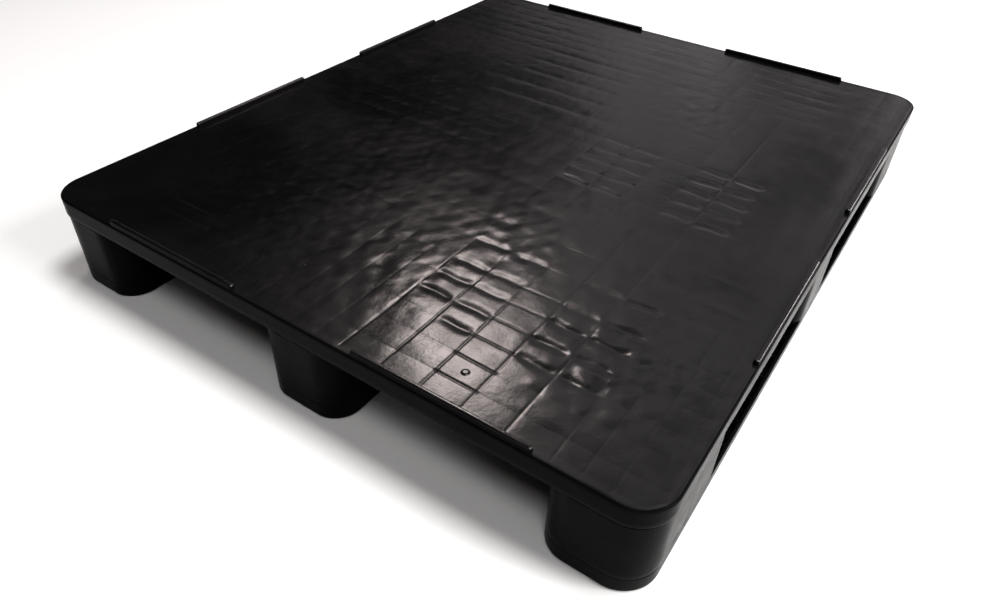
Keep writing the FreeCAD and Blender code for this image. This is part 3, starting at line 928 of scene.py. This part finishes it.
def plated_steel():
    """Zinc-plated screw steel with a dull bloom."""
    material, tree, shader = new_material("zinc_steel")
    bloom = noise_field(tree, 260.0, detail=4.0, distortion=0.5)
    fine = noise_field(tree, 2400.0, detail=2.0)
    bright, dull = (0.50, 0.51, 0.52), (0.32, 0.31, 0.29)
    colour = blend_colour(tree, remap(tree, bloom, 0.35, 0.7), bright, dull)
    tree.links.new(colour, shader.inputs["Base Color"])
    shader.inputs["Metallic"].default_value = 1.0
    rough = total(tree, [remap(tree, bloom, 0.3, 0.7, 0.28, 0.48),
                         remap(tree, fine, 0.2, 0.8, -0.04, 0.04)])
    tree.links.new(rough, shader.inputs["Roughness"])
    bump(tree, shader, total(tree, [bloom, combine(tree, "MULTIPLY", fine, 0.3)]), 0.05 * MM)
    return material


def pale_floor():
    """Matt near-white paper, very slightly uneven."""
    material, tree, shader = new_material("pale_floor")
    tone = noise_field(tree, 1.2, detail=2.0)
    colour = blend_colour(tree, tone, (0.86, 0.86, 0.86), (0.88, 0.88, 0.875))
    tree.links.new(colour, shader.inputs["Base Color"])
    shader.inputs["Roughness"].default_value = 0.9
    shader.inputs["Specular IOR Level"].default_value = 0.1
    return material


def paint(piece, material):
    """Give every face of a piece one material."""
    piece.data.materials.clear()
    piece.data.materials.append(material)


# ---- the pallet's pieces --------------------------------------------------------

# faces further under the top than this are sides, not deck
SIDE_DEPTH = 3 * MM
# faces higher over the top than this belong to rims
RIM_FOOT = 1.5 * MM


def in_outline(x, y):
    """True within the deck's outline less its rounded top edge."""
    over_x = max(abs(x) - (HALF_X - CORNER), 0)
    over_y = max(abs(y) - (HALF_Y - CORNER), 0)
    return math.hypot(over_x, over_y) < CORNER - TOP_ROUND


def make_deck(top_material, shaded_side_material):
    """The deck moulding: the faces that look up from deck and rims get the top material, the rest a duller
    copy that is also darker and almost unreflective as painted shade.
    """
    shells = [deck_cap(), button(), rib_lattice(), *screw_tubes(), *make_rims()]
    deck = make_piece("deck_moulding", *join_shells(shells))
    paint(deck, top_material)
    deck.data.materials.append(shaded_side_material)
    for face in deck.data.polygons:
        x, y, z = face.center
        within = in_outline(x, y) or z > TOP + RIM_FOOT
        face.material_index = 0 if within and z > TOP - SIDE_DEPTH and face.normal.z > 0.5 else 1
    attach(deck, "root")
    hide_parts("top_deck")


def make_blocks(material):
    """The nine blocks, row by row from the front."""
    for row_name, row_sign in ROWS.items():
        for column_name, column_sign in COLUMNS.items():
            node_name = f"block_{row_name}_{column_name}"
            skin = block(node_name, column_sign, row_sign)
            paint(skin, material)
            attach(skin, "root")
            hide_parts(node_name)


def make_runners(material):
    """The three runners, from left to right."""
    for column_name, column_sign in COLUMNS.items():
        node_name = f"runner_{column_name}"
        skin = runner(node_name, column_sign)
        paint(skin, material)
        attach(skin, "root")
        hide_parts(node_name)


def paint_screws(material):
    """Give the CAD screws, which keep their mesh, a better material."""
    for node_name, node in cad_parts.items():
        if node_name.startswith("screws"):
            paint(node, material)


deck_black = moulded_plastic("deck_plastic_black", dark=(0.0019, 0.0018, 0.0018),
                             light=(0.0034, 0.0031, 0.0032),
                             gloss=0.11, grain=1.0, wear=0.3, shine=0.5)
# painted shade: a duller copy of the deck plastic, darker and almost unreflective, for the faces that don't
# look up
shaded_side_black = moulded_plastic("shaded_side_plastic_black", dark=(0.0016, 0.0015, 0.0015),
                             light=(0.0030, 0.0028, 0.0028),
                             gloss=0.17, grain=1.2, wear=0.4, shine=0.010)
# painted shade: the blocks' plastic is a darker, almost unreflective copy of the deck plastic
shaded_block_black = moulded_plastic("shaded_block_plastic_black", dark=(0.0017, 0.0016, 0.0016),
                              light=(0.0032, 0.0030, 0.0030),
                              gloss=0.19, grain=1.3, wear=0.4, shine=0.011)
runner_black = moulded_plastic("runner_plastic_black", dark=(0.0019, 0.0018, 0.0018),
                               light=(0.0036, 0.0034, 0.0034),
                               gloss=0.22, grain=1.6, wear=0.5, shine=0.014)
screw_grey = plated_steel()

make_deck(deck_black, shaded_side_black)
make_blocks(shaded_block_black)
make_runners(runner_black)
paint_screws(screw_grey)


# ---- floor, lights and camera ---------------------------------------------------

FLOOR_REACH = 5.0
FLOOR_DROP = 0.2 * MM
WORLD_TINT = (1.0, 0.945, 0.955, 1)
SOFTBOX_TOWARDS = (-0.46, 0.56, 0.69)
CAMERA_PLACE = (0.58895, -1.04664, 0.76682)
CAMERA_TURNS = (50.734, -2.073, 34.047)
CAMERA_LENS = 27.495


def make_floor():
    """A plain pale floor, just under the runners' soles."""
    corners = [(side * FLOOR_REACH, end * FLOOR_REACH, -FLOOR_DROP)
               for side, end in ((-1, -1), (1, -1), (1, 1), (-1, 1))]
    floor = make_piece("studio_floor", corners, [(0, 1, 2, 3)])
    paint(floor, pale_floor())


def soft_light(name, place, target, size, power, colour):
    """An area light of so many watts, turned towards a target and unseen by the camera."""
    data = bpy.data.lights.new(name, "AREA")
    data.shape = "RECTANGLE"
    data.size, data.size_y = size
    data.energy = power
    data.color = colour
    light = bpy.data.objects.new(name, data)
    light.location = place
    aim = np.array(target) - np.array(place)
    light.rotation_euler = (math.atan2(math.hypot(aim[0], aim[1]), -aim[2]), 0,
                            math.atan2(-aim[0], aim[1]))
    light.visible_camera = False
    bpy.context.scene.collection.objects.link(light)


def world_glow(tree, direction, parts):
    """Light from the back right: uneven above the horizon, faint high up."""
    behind = total(tree, [parts["X"], parts["Y"], combine(tree, "MULTIPLY", parts["Z"], 0.35)])
    glow = remap(tree, behind, 0.22, 0.82, to_low=0.006, to_high=0.52)
    patches = add_node(tree, "ShaderNodeTexNoise")
    patches.inputs["Scale"].default_value = 7.0
    patches.inputs["Detail"].default_value = 1.0
    tree.links.new(direction, patches.inputs["Vector"])
    uneven = remap(tree, patches.outputs["Fac"], 0.36, 0.62, to_low=-0.5, to_high=0.5)
    uneven = combine(tree, "MULTIPLY", uneven, remap(tree, parts["Z"], 0.12, 0.28))
    glow = combine(tree, "MULTIPLY", glow, combine(tree, "ADD", uneven, 0.85))
    return combine(tree, "MULTIPLY", glow, remap(tree, parts["Z"], 0.77, 0.87, to_low=1.0, to_high=0.1))


def world_softbox(tree, direction):
    """A weak round patch high at the back left, which the deck mirrors to the camera."""
    towards = add_node(tree, "ShaderNodeVectorMath", operation="DOT_PRODUCT")
    towards.inputs[1].default_value = SOFTBOX_TOWARDS
    tree.links.new(direction, towards.inputs[0])
    return remap(tree, towards.outputs["Value"], 0.955, 1.0, to_low=0.0, to_high=0.16)


def make_world():
    """A dim studio with a glow, a soft patch, a pale horizon and pale ground."""
    world = bpy.data.worlds.new("studio")
    world.use_nodes = True
    tree = world.node_tree
    background = next(node for node in tree.nodes if node.type == "BACKGROUND")
    direction = add_node(tree, "ShaderNodeTexCoord").outputs["Generated"]
    split = add_node(tree, "ShaderNodeSeparateXYZ")
    tree.links.new(direction, split.inputs["Vector"])
    parts = split.outputs
    horizon = remap(tree, parts["Z"], 0.03, 0.16, to_low=0.75, to_high=0.0)
    ground = remap(tree, parts["Z"], -0.06, -0.01, to_low=0.25, to_high=0.0)
    strength = total(tree, [world_glow(tree, direction, parts), world_softbox(tree, direction),
                            horizon, ground])
    background.inputs["Color"].default_value = WORLD_TINT
    tree.links.new(strength, background.inputs["Strength"])
    bpy.context.scene.world = world


def make_camera():
    """The photograph's viewpoint: above the front right corner, looking back and left."""
    data = bpy.data.cameras.new("camera")
    data.sensor_width = 36.0
    data.lens = CAMERA_LENS
    data.clip_start, data.clip_end = 0.01, 100.0
    camera = bpy.data.objects.new("camera", data)
    camera.location = CAMERA_PLACE
    camera.rotation_euler = [math.radians(turn) for turn in CAMERA_TURNS]
    bpy.context.scene.collection.objects.link(camera)
    bpy.context.scene.camera = camera


def make_lights():
    """The five area lights of the studio."""
    soft_light("overhead", place=(1.0, 0.2, 4.2), target=(0.2, 0, 0),
               size=(1.2, 1.2), power=150, colour=(1.0, 0.99, 0.98))
    soft_light("right_side", place=(3.6, 0.3, 2.6), target=(0.5, 0, 0),
               size=(1.6, 1.2), power=175, colour=(1.0, 0.985, 0.975))
    soft_light("front_fill", place=(1.2, -2.0, 3.8), target=(0, -0.6, 0),
               size=(1.2, 1.2), power=45, colour=(1.0, 0.985, 0.98))
    soft_light("highlight", place=(-1.52, 1.84, 2.89), target=(0.17, -0.53, 0.15),
               size=(0.60, 0.60), power=16, colour=(1.0, 0.88, 0.85))
    soft_light("low_strip", place=(3.4, 3.2, 0.4), target=(0.5, 0.0, 0.15),
               size=(2.4, 0.4), power=80, colour=(1.0, 0.97, 0.96))


make_floor()
make_world()
make_lights()
make_camera()
bpy.context.scene.view_settings.view_transform = "Standard"
